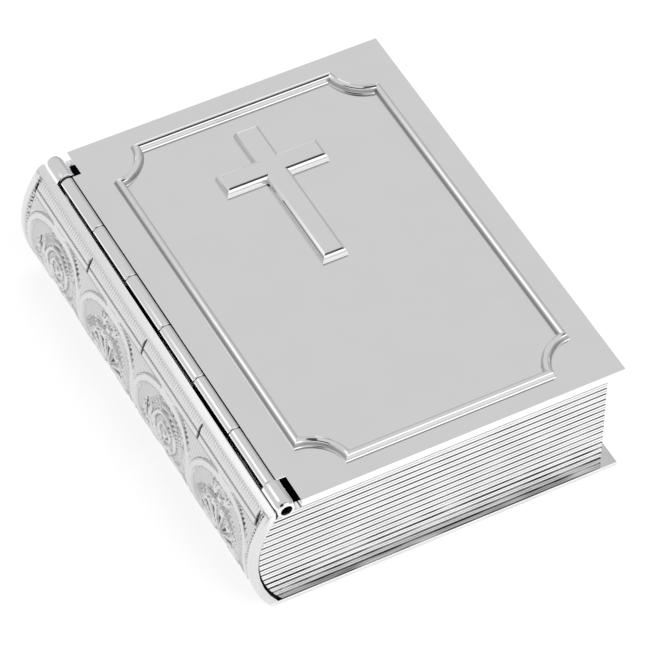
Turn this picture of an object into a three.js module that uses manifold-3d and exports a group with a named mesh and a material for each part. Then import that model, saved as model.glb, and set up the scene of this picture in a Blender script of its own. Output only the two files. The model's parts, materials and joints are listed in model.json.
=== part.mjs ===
// Keepsake box in the form of a closed book, with a hinged lid
//
// Millimetres, +Z up. +X runs from the rounded spine to the fore edge, +Y from the tail end to the head end.
// The origin is the middle of the resting face.

import * as THREE from 'three';
import { mergeVertices } from 'three/addons/utils/BufferGeometryUtils.js';
import Module from 'manifold-3d';

const wasm = await Module();
wasm.setup();

// Overall sizes of the closed box
const coverLength = 95;
const lidDepth = 66;
const spineBulge = 10.2;
const closedHeight = 27.75;

// Covers and the felt that the box rests on
const lidThickness = 1.8;
const baseThickness = 1;
const feltThickness = 0.5;
const feltInset = 2.5;

// Gaps between pieces
const seatGap = 0.3;
const runningGap = 0.3;
const knuckleGap = 0.2;
const pinClearance = 0.08;
const overrun = 4;

// Ribbed walls that look like the edges of leaves
const wallThickness = 1.5;
const endRecess = 0.25;
const foreInset = 3.5;
const leafCount = 16;
const grooveDepth = 0.35;
const grooveWidth = 0.4;

// Rounded spine, whose top and bottom edges stand this far behind the notch line
const spineEdgeReach = 5.67;
const spineThickness = 1.6;
const spineTopDrop = 0.6;
const reliefDepth = 0.5;
const endRimWidth = 2.2;
const topRimHeight = 2.4;
const footRimHeight = 1.6;
const panelCount = 4;
const panelRidge = 1.6;
const spineArcSegments = 40;

// Hinge
const axisSetback = 2.95;
const axisDrop = 1.25;
const barrelRadius = 1.5;
const pinRadius = 0.9;
const knuckleCount = 6;
const hingeLeafThickness = 0.5;
const lidLeafReach = 4;
const bodyLeafDrop = 6.25;
const spineSlot = 0.65;
const roundSegments = 32;

// End bosses that hold the pin
const bossRadius = 2.05;
const bossLength = 5.9;
const bossNoseRadius = 1.4;
const bossNoseLength = 1.5;
const noseSteps = 5;
const pinHoleRadius = 1.1;
const pinHoleDepth = 2.4;
const bossFootHalfWidth = 1.65;
const bossFootDrop = 2.35;

// Tray wall behind the spine and its lining
const innerWallThickness = 0.8;
const liningThickness = 0.8;
const liningStep = 0.3;
const cardThickness = 0.8;
const floorPileHeight = 1;
const lidPileHeight = 0.8;
const padClearance = 0.4;
const lidPadInset = 1;

// Raised border on the lid
const borderInsetTail = 4;
const borderInsetHead = 4.5;
const borderInsetFore = 5.3;
const borderInsetSpine = 4.1;
const borderWidth = 2.1;
const borderHeight = 1.35;
const borderBevel = 0.75;
const borderRoot = 0.3;
const scoopRadius = 6.8;
const scoopSegments = 12;
const bevelSteps = 2;

// Raised cross on the lid
const crossLength = 36.4;
const crossSpan = 21.6;
const crossStemWidth = 5.4;
const crossArmWidth = 5.4;
const crossHeadLength = 8.3;
const crossHeight = 1.55;
const crossBevel = 0.75;
const crossTopInset = 10.9;
const crossCentreFromNotch = 32.15;

// Places that follow from the sizes
const foreX = (lidDepth + spineBulge) / 2;
const notchX = foreX - lidDepth;
const spineX = notchX - spineBulge;
const tailY = -coverLength / 2;
const headY = coverLength / 2;
const baseUnderZ = feltThickness;
const baseTopZ = baseUnderZ + baseThickness;
const lidTopZ = closedHeight;
const lidUnderZ = lidTopZ - lidThickness;
const wallTopZ = lidUnderZ - seatGap;
const axisX = notchX - axisSetback;
const axisZ = lidTopZ - axisDrop;
const boreRadius = pinRadius + pinClearance;
const sweepRadius = barrelRadius + runningGap;
const notchLength = bossLength + seatGap;
const barrelStartY = tailY + notchLength;
const barrelEndY = headY - notchLength;
const knucklePitch = (barrelEndY - barrelStartY) / knuckleCount;
const spineTopZ = lidTopZ - spineTopDrop;
const spineSwell = spineBulge - spineEdgeReach;
const spineHalfChord = (spineTopZ - baseUnderZ) / 2;
const spineRadius = (spineHalfChord ** 2 + spineSwell ** 2) / (2 * spineSwell);
const spineCentreX = spineX + spineRadius;
const spineCentreZ = (spineTopZ + baseUnderZ) / 2;
const spineInnerRadius = spineRadius - spineThickness;
const spineTopX = axisX - barrelRadius - spineSlot;
const wallForeX = foreX - foreInset;
const wallTailY = tailY + endRecess;
const wallHeadY = headY - endRecess;
const mitreSetback = seatGap / Math.SQRT2;
const bossFootZ = axisZ - bossFootDrop;
const innerWallX = axisX - barrelRadius + hingeLeafThickness;
const innerWallInsideX = innerWallX + innerWallThickness;
const liningTopZ = bossFootZ - liningStep;
const floorPadTopZ = baseTopZ + cardThickness + floorPileHeight;
const leafStartY = barrelStartY + knuckleGap / 2;
const leafEndY = barrelEndY - knuckleGap / 2;
const trayForeX = wallForeX - wallThickness;
const trayTailY = wallTailY + wallThickness;
const trayHeadY = wallHeadY - wallThickness;

// Solids

function toSolid(geometry) {
  geometry.deleteAttribute('normal');
  geometry.deleteAttribute('uv');
  const welded = mergeVertices(geometry);
  return new wasm.Manifold(new wasm.Mesh({
    numProp: 3,
    vertProperties: new Float32Array(welded.attributes.position.array),
    triVerts: new Uint32Array(welded.index.array),
  }));
}

function toGeometry(solid) {
  const mesh = solid.getMesh();
  const geometry = new THREE.BufferGeometry();
  geometry.setAttribute('position', new THREE.BufferAttribute(mesh.vertProperties, 3));
  geometry.setIndex(new THREE.BufferAttribute(mesh.triVerts, 1));
  const faceted = geometry.toNonIndexed();
  faceted.computeVertexNormals();
  return faceted;
}

function block(low, high) {
  const [x0, y0, z0] = low;
  const [x1, y1, z1] = high;
  const geometry = new THREE.BoxGeometry(x1 - x0, y1 - y0, z1 - z0);
  return geometry.translate((x0 + x1) / 2, (y0 + y1) / 2, (z0 + z1) / 2);
}

function rodAlongY(radius, y0, y1) {
  const geometry = new THREE.CylinderGeometry(radius, radius, y1 - y0, roundSegments);
  return geometry.translate(axisX, (y0 + y1) / 2, axisZ);
}

function outline(points) {
  return new THREE.Shape(points.map(([u, v]) => new THREE.Vector2(u, v)));
}

// An outline in X and Z, drawn out along Y
function drawAlongY(shape, y0, y1) {
  const geometry = new THREE.ExtrudeGeometry(shape, { depth: y1 - y0, bevelEnabled: false });
  const turn = new THREE.Matrix4().makeBasis(
    new THREE.Vector3(1, 0, 0), new THREE.Vector3(0, 0, 1), new THREE.Vector3(0, -1, 0));
  return geometry.applyMatrix4(turn).translate(0, y1, 0);
}

// An outline in Y and Z, drawn out along X
function drawAlongX(shape, x0, x1) {
  const geometry = new THREE.ExtrudeGeometry(shape, { depth: x1 - x0, bevelEnabled: false });
  const turn = new THREE.Matrix4().makeBasis(
    new THREE.Vector3(0, 1, 0), new THREE.Vector3(0, 0, 1), new THREE.Vector3(1, 0, 0));
  return geometry.applyMatrix4(turn).translate(x0, 0, 0);
}

// An outline in X and Y, drawn out along Z
function drawAlongZ(shape, z0, z1) {
  const geometry = new THREE.ExtrudeGeometry(shape, { depth: z1 - z0, bevelEnabled: false });
  return geometry.translate(0, 0, z0);
}

// The spine's round section

function spineArcX(radius, z) {
  return spineCentreX - Math.sqrt(radius ** 2 - (z - spineCentreZ) ** 2);
}

function spineArc(radius, z0, z1) {
  const a0 = Math.asin((z0 - spineCentreZ) / radius);
  const a1 = Math.asin((z1 - spineCentreZ) / radius);
  const points = [];
  for (let i = 0; i <= spineArcSegments; i += 1) {
    const angle = a0 + ((a1 - a0) * i) / spineArcSegments;
    points.push([spineCentreX - radius * Math.cos(angle), spineCentreZ + radius * Math.sin(angle)]);
  }
  return points;
}

// Materials

function finish(color, roughness, metalness) {
  return new THREE.MeshStandardMaterial({ color, roughness, metalness });
}

const plate = finish(0xdcdcdd, 0.12, 1);
const steel = finish(0xa9abad, 0.3, 1);
const velvet = finish(0x1d2748, 0.95, 0);
const card = finish(0x8d8578, 0.9, 0);
const felt = finish(0x23242a, 0.97, 0);

function piece(name, geometry, material) {
  const mesh = new THREE.Mesh(geometry, material.clone());
  mesh.name = name;
  return mesh;
}

// Felt under the base cover
function baseFelt() {
  const left = spineArcX(spineRadius, baseUnderZ) + feltInset;
  return block([left, tailY + feltInset, 0], [foreX - feltInset, headY - feltInset, baseUnderZ]);
}

// Base cover, whose spine edge carries on the spine's curve
function baseCover() {
  const shape = outline([
    [foreX, baseUnderZ],
    [foreX, baseTopZ],
    [spineArcX(spineRadius, baseTopZ), baseTopZ],
    [spineArcX(spineRadius, baseUnderZ), baseUnderZ],
  ]);
  return drawAlongY(shape, tailY, headY);
}

// Section of a ribbed wall: a smooth inner face at 0, and leaves at the wall's thickness
function leafSection(side) {
  const pitch = (wallTopZ - baseTopZ) / leafCount;
  const face = side * wallThickness;
  const root = side * (wallThickness - grooveDepth);
  const points = [[0, wallTopZ], [0, baseTopZ]];
  for (let i = 0; i < leafCount; i += 1) {
    const z = baseTopZ + i * pitch;
    points.push([i === 0 ? face : root, z]);
    points.push([face, z + grooveWidth / 2]);
    points.push([face, z + pitch - grooveWidth / 2]);
  }
  points.push([face, wallTopZ]);
  return side > 0 ? points : points.reverse();
}

// Room inside the spine, which shapes the spine ends of the tail and head walls
function insideSpine() {
  const arc = spineArc(spineInnerRadius - seatGap, baseTopZ, wallTopZ);
  const shape = outline([[foreX, wallTopZ], ...arc.reverse(), [foreX, baseTopZ]]);
  return toSolid(drawAlongY(shape, tailY - overrun, headY + overrun));
}

// Tail wall at side -1, head wall at side 1
function endWall(side) {
  const outY = side > 0 ? wallHeadY : wallTailY;
  const inY = outY - side * wallThickness;
  const section = outline(leafSection(side).map(([t, z]) => [inY + t, z]));
  const strip = toSolid(drawAlongX(section, spineX - overrun, foreX));
  const corners = [
    [spineX - overrun, outY],
    [wallForeX - mitreSetback, outY],
    [wallForeX - wallThickness - mitreSetback, inY],
    [spineX - overrun, inY],
  ];
  const plan = outline(side < 0 ? corners : corners.reverse());
  const mitred = strip.intersect(toSolid(drawAlongZ(plan, baseTopZ, wallTopZ)));
  const bossRoomX = axisX + bossRadius + runningGap;
  const bossRoom = toSolid(block(
    [spineX - overrun, Math.min(outY, inY) - overrun, bossFootZ],
    [bossRoomX, Math.max(outY, inY) + overrun, wallTopZ + overrun]));
  return toGeometry(mitred.intersect(insideSpine()).subtract(bossRoom));
}

// Wall at the fore edge, mitred to the tail and head walls
function foreWall() {
  const inX = wallForeX - wallThickness;
  const section = outline(leafSection(1).map(([t, z]) => [inX + t, z]));
  const strip = toSolid(drawAlongY(section, tailY, headY));
  const plan = outline([
    [wallForeX, wallTailY + mitreSetback],
    [wallForeX, wallHeadY - mitreSetback],
    [inX, wallHeadY - wallThickness - mitreSetback],
    [inX, wallTailY + wallThickness + mitreSetback],
  ]);
  return toGeometry(strip.intersect(toSolid(drawAlongZ(plan, baseTopZ, wallTopZ))));
}

// Rounded spine with sunk panels between plain rims
function spineCover() {
  const innerTopZ = spineCentreZ + Math.sqrt(spineInnerRadius ** 2 - (spineCentreX - spineTopX) ** 2);
  const shell = outline([
    ...spineArc(spineRadius, baseTopZ, spineTopZ),
    [spineTopX, spineTopZ],
    ...spineArc(spineInnerRadius, baseTopZ, innerTopZ).reverse(),
  ]);
  let solid = toSolid(drawAlongY(shell, tailY, headY));
  const panelStart = tailY + endRimWidth;
  const panelPitch = (coverLength - 2 * endRimWidth + panelRidge) / panelCount;
  const lowZ = baseTopZ + footRimHeight;
  const highZ = spineTopZ - topRimHeight;
  const sunk = outline([
    ...spineArc(spineRadius + reliefDepth, lowZ, highZ).reverse(),
    ...spineArc(spineRadius - reliefDepth, lowZ, highZ),
  ]);
  for (let i = 0; i < panelCount; i += 1) {
    const y = panelStart + i * panelPitch;
    solid = solid.subtract(toSolid(drawAlongY(sunk, y, y + panelPitch - panelRidge)));
  }
  return toGeometry(solid);
}

// Flat tray wall behind the spine, between the tail and head walls
function innerWall() {
  return block(
    [innerWallX, wallTailY + wallThickness, baseTopZ],
    [innerWallInsideX, wallHeadY - wallThickness, bossFootZ]);
}

// Boss at one end of the hinge: side -1 at the tail, where the pin goes in, and side 1 at the head
function hingeBoss(side) {
  const profile = [new THREE.Vector2(0, 0), new THREE.Vector2(bossRadius, 0)];
  for (let i = 0; i <= noseSteps; i += 1) {
    const angle = (i / noseSteps) * (Math.PI / 2);
    const radius = bossNoseRadius + (bossRadius - bossNoseRadius) * Math.cos(angle);
    const height = bossLength - bossNoseLength * (1 - Math.sin(angle));
    profile.push(new THREE.Vector2(radius, height));
  }
  profile.push(new THREE.Vector2(0, bossLength));
  const body = new THREE.LatheGeometry(profile, roundSegments);
  if (side < 0) {
    body.rotateX(Math.PI);
  }
  const endY = side > 0 ? headY : tailY;
  const rootY = endY - side * bossLength;
  const wallY = endY - side * endRecess;
  body.translate(axisX, rootY, axisZ);
  const foot = block(
    [axisX - bossFootHalfWidth, Math.min(rootY, wallY), bossFootZ],
    [axisX + bossFootHalfWidth, Math.max(rootY, wallY), axisZ]);
  const floorY = endY - side * pinHoleDepth;
  const openY = rootY - side * overrun;
  const bore = rodAlongY(boreRadius, Math.min(openY, floorY), Math.max(openY, floorY));
  let solid = toSolid(body).add(toSolid(foot)).subtract(toSolid(bore));
  if (side < 0) {
    const mouth = rodAlongY(pinHoleRadius, endY - overrun, floorY);
    solid = solid.subtract(toSolid(mouth));
  }
  return toGeometry(solid);
}

// Pin through both bosses and all the knuckles
function hingePin() {
  return rodAlongY(pinRadius, tailY + pinHoleDepth + knuckleGap, headY - pinHoleDepth - knuckleGap);
}

// Knuckles of one leaf, and the room that the other leaf's knuckles need
function knuckles(first, radius, gap) {
  const rods = [];
  for (let i = first; i < knuckleCount; i += 2) {
    const y = barrelStartY + i * knucklePitch;
    rods.push(toSolid(rodAlongY(radius, y + gap, y + knucklePitch - gap)));
  }
  return rods;
}

function hingeLeaf(strip, first) {
  let solid = toSolid(strip);
  knuckles(1 - first, sweepRadius, -knuckleGap / 2).forEach((room) => {
    solid = solid.subtract(room);
  });
  knuckles(first, barrelRadius, knuckleGap / 2).forEach((knuckle) => {
    solid = solid.add(knuckle);
  });
  const bore = rodAlongY(boreRadius, barrelStartY - overrun, barrelEndY + overrun);
  return toGeometry(solid.subtract(toSolid(bore)));
}

// Leaf under the lid, with the first, third and fifth knuckles from the tail
function lidHingeLeaf() {
  const strip = block(
    [axisX + (boreRadius + barrelRadius) / 2, leafStartY, lidUnderZ - hingeLeafThickness],
    [notchX + lidLeafReach, leafEndY, lidUnderZ]);
  return hingeLeaf(strip, 0);
}

// Leaf on the back of the tray wall, with the second, fourth and sixth knuckles
function bodyHingeLeaf() {
  const strip = block(
    [axisX - barrelRadius, leafStartY, axisZ - bodyLeafDrop],
    [innerWallX, leafEndY, axisZ]);
  return hingeLeaf(strip, 1);
}

// Linings of the tray
function foreLining() {
  return block(
    [trayForeX - liningThickness, trayTailY, floorPadTopZ],
    [trayForeX, trayHeadY, liningTopZ]);
}

function spineLining() {
  return block(
    [innerWallInsideX, trayTailY, floorPadTopZ],
    [innerWallInsideX + liningThickness, trayHeadY, liningTopZ]);
}

function endLining(side) {
  const wallY = side > 0 ? trayHeadY : trayTailY;
  const faceY = wallY - side * liningThickness;
  return block(
    [innerWallInsideX + liningThickness, Math.min(wallY, faceY), floorPadTopZ],
    [trayForeX - liningThickness, Math.max(wallY, faceY), liningTopZ]);
}

function floorSlab(z0, z1) {
  return block(
    [innerWallInsideX + padClearance, trayTailY + padClearance, z0],
    [trayForeX - padClearance, trayHeadY - padClearance, z1]);
}

// Lid pad, clear of the hinge leaf and of the tray's walls
function lidSlab(z0, z1) {
  return block(
    [notchX + lidLeafReach + padClearance, trayTailY + lidPadInset, z0],
    [trayForeX - lidPadInset, trayHeadY - lidPadInset, z1]);
}

// Outline of the border on the lid: straight sides and hollow corners, set in from its outer edge
function scoopedOutline(inset) {
  const x0 = notchX + borderInsetSpine;
  const x1 = foreX - borderInsetFore;
  const y0 = tailY + borderInsetTail;
  const y1 = headY - borderInsetHead;
  const radius = scoopRadius + inset;
  const lean = Math.asin(inset / radius);
  const corners = [[x1, y0, Math.PI], [x1, y1, 1.5 * Math.PI], [x0, y1, 0], [x0, y0, Math.PI / 2]];
  const points = [];
  corners.forEach(([x, y, start]) => {
    const from = start - lean;
    const to = start - Math.PI / 2 + lean;
    for (let i = 0; i <= scoopSegments; i += 1) {
      const angle = from + ((to - from) * i) / scoopSegments;
      points.push(new THREE.Vector2(x + radius * Math.cos(angle), y + radius * Math.sin(angle)));
    }
  });
  return points;
}

// A raised form with rounded sides, cut off level at its root: its widest outline lies in the lid's face
function raised(shape, height, bevel, rootZ) {
  const geometry = new THREE.ExtrudeGeometry(shape, {
    depth: borderRoot,
    bevelEnabled: true,
    bevelThickness: height,
    bevelSize: bevel,
    bevelOffset: -bevel,
    bevelSegments: bevelSteps,
  });
  const above = toSolid(block(
    [notchX, tailY, rootZ],
    [foreX, headY, lidTopZ + height + overrun]));
  return toSolid(geometry.translate(0, 0, lidTopZ - borderRoot)).intersect(above);
}

// Lid cover, notched for the bosses and hollowed beside the barrel
function lidCover() {
  const rootX = axisX + barrelRadius * Math.SQRT1_2;
  const plan = outline([
    [foreX, tailY],
    [foreX, headY],
    [notchX, headY],
    [notchX, barrelEndY],
    [rootX, barrelEndY],
    [rootX, barrelStartY],
    [notchX, barrelStartY],
    [notchX, tailY],
  ]);
  const flat = toSolid(drawAlongZ(plan, lidUnderZ, lidTopZ));
  const sweep = toSolid(rodAlongY(sweepRadius, barrelStartY - overrun, barrelEndY + overrun));
  const border = new THREE.Shape(scoopedOutline(0));
  border.holes.push(new THREE.Path(scoopedOutline(borderWidth)));
  return toGeometry(flat.subtract(sweep).add(raised(border, borderHeight, borderBevel, lidTopZ - borderRoot)));
}

// Cross on the lid, with its head towards the head end
function lidCross() {
  const x = notchX + crossCentreFromNotch;
  const topY = headY - crossTopInset;
  const footY = topY - crossLength;
  const armTopY = topY - crossHeadLength;
  const armFootY = armTopY - crossArmWidth;
  const stem = crossStemWidth / 2;
  const arm = crossSpan / 2;
  const shape = outline([
    [x - stem, footY],
    [x + stem, footY],
    [x + stem, armFootY],
    [x + arm, armFootY],
    [x + arm, armTopY],
    [x + stem, armTopY],
    [x + stem, topY],
    [x - stem, topY],
    [x - stem, armTopY],
    [x - arm, armTopY],
    [x - arm, armFootY],
    [x - stem, armFootY],
  ]);
  return toGeometry(raised(shape, crossHeight, crossBevel, lidTopZ));
}

// The box: what stands on the table
const tray = new THREE.Group();
tray.add(piece('base_felt', baseFelt(), felt));
tray.add(piece('base_cover', baseCover(), plate));
tray.add(piece('tail_page_wall', endWall(-1), plate));
tray.add(piece('head_page_wall', endWall(1), plate));
tray.add(piece('fore_page_wall', foreWall(), plate));
tray.add(piece('spine_cover', spineCover(), plate));
tray.add(piece('spine_inner_wall', innerWall(), plate));
tray.add(piece('tail_hinge_boss', hingeBoss(-1), plate));
tray.add(piece('head_hinge_boss', hingeBoss(1), plate));
tray.add(piece('body_hinge_leaf', bodyHingeLeaf(), plate));
tray.add(piece('hinge_pin', hingePin(), steel));
tray.add(piece('floor_card', floorSlab(baseTopZ, baseTopZ + cardThickness), card));
tray.add(piece('floor_velvet', floorSlab(baseTopZ + cardThickness, floorPadTopZ), velvet));
tray.add(piece('fore_lining', foreLining(), velvet));
tray.add(piece('spine_lining', spineLining(), velvet));
tray.add(piece('tail_lining', endLining(-1), velvet));
tray.add(piece('head_lining', endLining(1), velvet));

// The lid: what turns on the pin
const lid = new THREE.Group();
lid.add(piece('lid_cover', lidCover(), plate));
lid.add(piece('lid_cross', lidCross(), plate));
lid.add(piece('lid_hinge_leaf', lidHingeLeaf(), plate));
lid.add(piece('lid_card', lidSlab(lidUnderZ - cardThickness, lidUnderZ), card));
lid.add(piece('lid_velvet', lidSlab(lidUnderZ - cardThickness - lidPileHeight, lidUnderZ - cardThickness), velvet));

const keepsakeBox = new THREE.Group();
keepsakeBox.add(tray);
keepsakeBox.add(lid);

export default keepsakeBox;
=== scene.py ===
import json
import math

import bmesh
import bpy
import numpy as np
from mathutils import Matrix, Vector, noise


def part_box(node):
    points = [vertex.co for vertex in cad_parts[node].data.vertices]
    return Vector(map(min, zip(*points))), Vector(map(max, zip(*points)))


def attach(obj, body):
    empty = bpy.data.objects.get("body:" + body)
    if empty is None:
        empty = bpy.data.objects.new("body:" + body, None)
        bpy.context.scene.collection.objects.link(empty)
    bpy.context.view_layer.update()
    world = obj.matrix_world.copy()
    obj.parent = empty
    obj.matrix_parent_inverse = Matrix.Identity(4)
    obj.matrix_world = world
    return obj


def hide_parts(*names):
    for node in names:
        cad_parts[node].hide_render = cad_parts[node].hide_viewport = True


# Silver-plated keepsake box in the form of a closed book. Metres, +Z up, spine towards -X.
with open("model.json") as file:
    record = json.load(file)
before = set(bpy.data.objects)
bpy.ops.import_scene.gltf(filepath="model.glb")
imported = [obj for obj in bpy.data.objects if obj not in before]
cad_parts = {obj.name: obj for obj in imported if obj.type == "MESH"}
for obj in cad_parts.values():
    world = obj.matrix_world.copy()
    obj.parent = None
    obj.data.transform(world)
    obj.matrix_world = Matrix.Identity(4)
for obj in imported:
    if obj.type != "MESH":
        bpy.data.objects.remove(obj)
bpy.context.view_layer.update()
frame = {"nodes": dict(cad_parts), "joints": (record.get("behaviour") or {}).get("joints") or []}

MM = 0.001

# Camera, fitted to the corners of the lid and the base and to the spine's outline
CAMERA_PLACE = Vector((-256.71, -477.23, 627.33)) * MM
CAMERA_TARGET = Vector((-5.087, -13.138, 27.75)) * MM
CAMERA_ROLL = math.radians(0.752)
SENSOR_WIDTH = 36
IMAGE_SIDE = 650
FOCAL_PIXELS = 4400


def add_camera():
    back = (CAMERA_PLACE - CAMERA_TARGET).normalized()
    right = Vector((0, 0, 1)).cross(back).normalized()
    turn = Matrix((right, back.cross(right), back)).transposed() @ Matrix.Rotation(CAMERA_ROLL, 3, "Z")
    data = bpy.data.cameras.new("camera")
    data.sensor_width = SENSOR_WIDTH
    data.lens = FOCAL_PIXELS / IMAGE_SIDE * SENSOR_WIDTH
    data.dof.use_dof = False
    camera = bpy.data.objects.new("camera", data)
    camera.matrix_world = Matrix.Translation(CAMERA_PLACE) @ turn.to_4x4()
    bpy.context.scene.collection.objects.link(camera)
    bpy.context.scene.camera = camera


add_camera()

# Places read from the frame
lid_low, lid_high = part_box("lid_cover")
cross_low, cross_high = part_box("lid_cross")
spine_low, spine_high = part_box("spine_cover")
base_low, base_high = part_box("base_cover")
fore_low, fore_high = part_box("fore_page_wall")
tail_low, tail_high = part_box("tail_page_wall")
knuckles_low, knuckles_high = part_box("body_hinge_leaf")
lid_leaf_low, lid_leaf_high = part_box("lid_hinge_leaf")
boss_low, boss_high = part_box("tail_hinge_boss")
AXIS = Vector(frame["joints"][0]["pos_m"])
LID_TOP = cross_low.z
TAIL, HEAD = lid_low.y, lid_high.y
LENGTH = HEAD - TAIL

# Lid. A step of BORDER_SLOPE is a distance inwards and a height, both in millimetres, and its painted
# shade, which darkens the border's slopes as painted dark reflections.
NOTCH_SETBACK = 2.95 * MM
NOTCH = AXIS.x + NOTCH_SETBACK
BARREL_GAP = 0.1 * MM
SWEEP_RADIUS = 1.8 * MM
LID_ROOT_RADIUS = 1.67 * MM
LID_EDGE = 0.12 * MM
CORNER_LEVELS = 6
BORDER_INSET_TAIL = 4 * MM
BORDER_INSET_HEAD = 4.5 * MM
BORDER_INSET_FORE = 5.3 * MM
BORDER_INSET_SPINE = 4.1 * MM
BORDER_WIDTH = 2.1
SCOOP_RADIUS = 6.8 * MM
SCOOP_STEPS = 28
BORDER_SLOPE = ((0, 0, 0), (0.05, 0.02, 0.05), (0.19, 0.18, 0.4), (0.27, 0.33, 0.7), (0.38, 0.85, 0.6),
                (0.48, 1.05, 0.2), (0.6, 1.17, 0), (0.92, 1.33, 0), (1, 1.345, 0))
FACET_ANGLE = math.radians(8)
# Painted shade: the border's tail and head sides take this share of it, its long sides all of it
SHORT_SIDE_SHADE = 0.65
# Painted shade on the cross's sloping sides, between the crease's foot and height above the lid
CREASE_SHADE = 0.35
CREASE_FOOT = 0.1 * MM
CREASE_HEIGHT = 0.8 * MM

# Cross. A step of CROSS_PROFILE is a distance inwards and a height, both in millimetres.
CROSS_STEM = 5.4 * MM
CROSS_ARM = 5.4 * MM
CROSS_HEAD = 8.3 * MM
CROSS_ROOT = 0.05 * MM
CROSS_PROFILE = ((0.05, 0.04), (0.09, 0.14), (0.21, 0.76), (0.3, 0.98), (0.44, 1.2), (0.58, 1.32),
                 (0.96, 1.51), (1.1, 1.53))

# Hinge
BARREL_RADIUS = 1.5 * MM
BORE_RADIUS = 0.98 * MM
KNUCKLE_COUNT = 6
KNUCKLE_GAP = 0.2 * MM
KNUCKLE_PITCH = (knuckles_high.y - knuckles_low.y + KNUCKLE_GAP) / KNUCKLE_COUNT
KNUCKLE_EDGE = 0.16 * MM
LEAF_THICKNESS = 0.5 * MM
LEAF_LAP = 0.05 * MM
LEAF_EDGE = 0.1 * MM
ROUND_STEPS = 72
BOSS_RADIUS = 2.05 * MM
BOSS_NOSE_RADIUS = 1.4 * MM
BOSS_NOSE_LENGTH = 1.5 * MM
BOSS_HOLE_RADIUS = 1.1 * MM
BOSS_HOLE_DEPTH = 2.4 * MM
BOSS_FOOT_HALF_WIDTH = 1.65 * MM
NOSE_STEPS = 10
WELD = 0.001 * MM

# Page walls. A step of LEAF_PROFILE is a share of the leaf's width, a depth and its painted shade, which
# darkens the grooves and partings.
LEAF_COUNT = 16
GROOVE_DEPTH = 0.4 * MM
GROOVE_HALF_WIDTH = 0.15 * MM
CREST_DROP = 0.03 * MM
PARTING_DEPTH = 0.08 * MM
LEAF_PROFILE = ((0, CREST_DROP, 0.9), (0.08, 0, 0), (0.39, 0, 0), (0.49, PARTING_DEPTH, 0.9), (0.59, 0, 0),
                (0.92, 0, 0), (1, CREST_DROP, 0.9))
WALL_THICKNESS = 1.5 * MM
MITRE_GAP = 0.15 * MM
FOOT_GAP = 0.45 * MM
FOOT_GAP_HEIGHT = 12 * MM
# Painted shade over the whole of the lowest leaves, darkest at the foot, broken into patches of the size
# below
LOW_LEAF_SHADE = (0.58, 0.38, 0.15)
PATCH_LENGTH = 5 * MM
PATCH_HEIGHT = 0.8 * MM
WORN_LEAVES = 5
WORN_GROOVE = 1.6
WALL_STEPS = 64

# Spine's section
SPINE_THICKNESS = 1.6 * MM
SPINE_EDGE_REACH = 5.67 * MM
SPINE_SLOT_TAIL = 0.65 * MM
SPINE_SLOT_HEAD = 0.42 * MM
SLOT_EDGE_DROP = 0.2 * MM
# Painted shade on the hollow back behind the slot
HOLLOW_BACK_SHADE = 0.5
BACK_STEPS = 9

# Spine's carving, with lengths in millimetres and headings in degrees
CELL = 0.175
CARVING_DEPTH = 0.6
EDGE_ROUNDING = 0.25
EDGE_STEPS = 3
PANELS = 4
PANEL_SQUARENESS = 2.6
FOOT_BORDER = 1.9
TOP_BORDER = 5.4
END_BORDER = 2.4
FOOT_RIM = 1.0
TOP_RIM = 1.3
END_RIM = 1.4
RIM_STEP = 0.15
TOP_RIM_SLOPE = 0.42
REED_PITCH = 0.7
ROPE_PITCH = 0.8
FOOT_LINE = 1.6
CUT_DEPTH = 0.3
# The cuts and the hollows of the carving are darkened as painted shade by these values
CUT_DARKNESS = 1.6
HOLLOW_CELLS = 4
HOLLOW_DARKNESS = 11
HOLLOW_START = 1.3
LARGE_VOLUTE = (-1.8, 1.9)
SMALL_VOLUTE = (4.6, -3.7)
FAN_ROOT = (0, -3.4)
PETAL_HEADINGS = tuple(6 + 24 * i for i in range(8))

# Base, felt and linings
BASE_EDGE = 0.3 * MM
FELT_EDGE = 0.15 * MM
FLOOR_CROWN = 0.5 * MM
LID_CROWN = 0.4 * MM
WALL_CROWN = 0.35 * MM
BOARD_PAD_EDGE = 1.8 * MM
WALL_PAD_EDGE = 1.2 * MM
DEEPEST_SINK_SHARE = 0.8
PAD_CELL = 0.8 * MM
FEWEST_CELLS = 8
MOST_CELLS = 120
LONG_WAVE = 11 * MM
SHORT_WAVE = 4 * MM

# Sizes and depths of the patterns in the finishes
CLOUD_SIZE = 9 * MM
WIPING_SIZE = 1.6 * MM
RIPPLE_SIZE = 4 * MM
RIPPLE_DEPTH = 0.05 * MM
CAST_SIZE = 0.35 * MM
CAST_DEPTH = 0.03 * MM
DRAWN_SIZE = 0.12 * MM
DRAWN_DEPTH = 0.02 * MM
BRUSHED_SIZE = 7 * MM
TUFT_SIZE = 2.5 * MM
PILE_SIZE = 0.28 * MM
PILE_DEPTH = 0.12 * MM
FLECK_SIZE = 0.5 * MM
FLECK_DEPTH = 0.05 * MM
CARD_TONE_SIZE = 6 * MM
FIBRE_SIZE = 0.6 * MM
FIBRE_DEPTH = 0.15 * MM
FELT_TONE_SIZE = 5 * MM


# Finishes

class Signal:
    """A node's output, which adds, subtracts and multiplies as a number does."""

    def __init__(self, paint, socket):
        self.paint = paint
        self.socket = socket

    def maths(self, operation, first, second=0.0):
        return self.paint.node("ShaderNodeMath", {"operation": operation}, {0: first, 1: second})

    def __add__(self, other):
        return self.maths("ADD", self, other)

    def __sub__(self, other):
        return self.maths("SUBTRACT", self, other)

    def __rsub__(self, other):
        return self.maths("SUBTRACT", other, self)

    def __mul__(self, other):
        return self.maths("MULTIPLY", self, other)

    __radd__ = __add__
    __rmul__ = __mul__

    def rising(self, low, high):
        """0 below low and 1 above high, with a smooth rise between; low may be the higher of the two."""
        settings = {"interpolation_type": "SMOOTHSTEP"}
        return self.paint.node("ShaderNodeMapRange", settings, {0: self, 1: low, 2: high})


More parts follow.
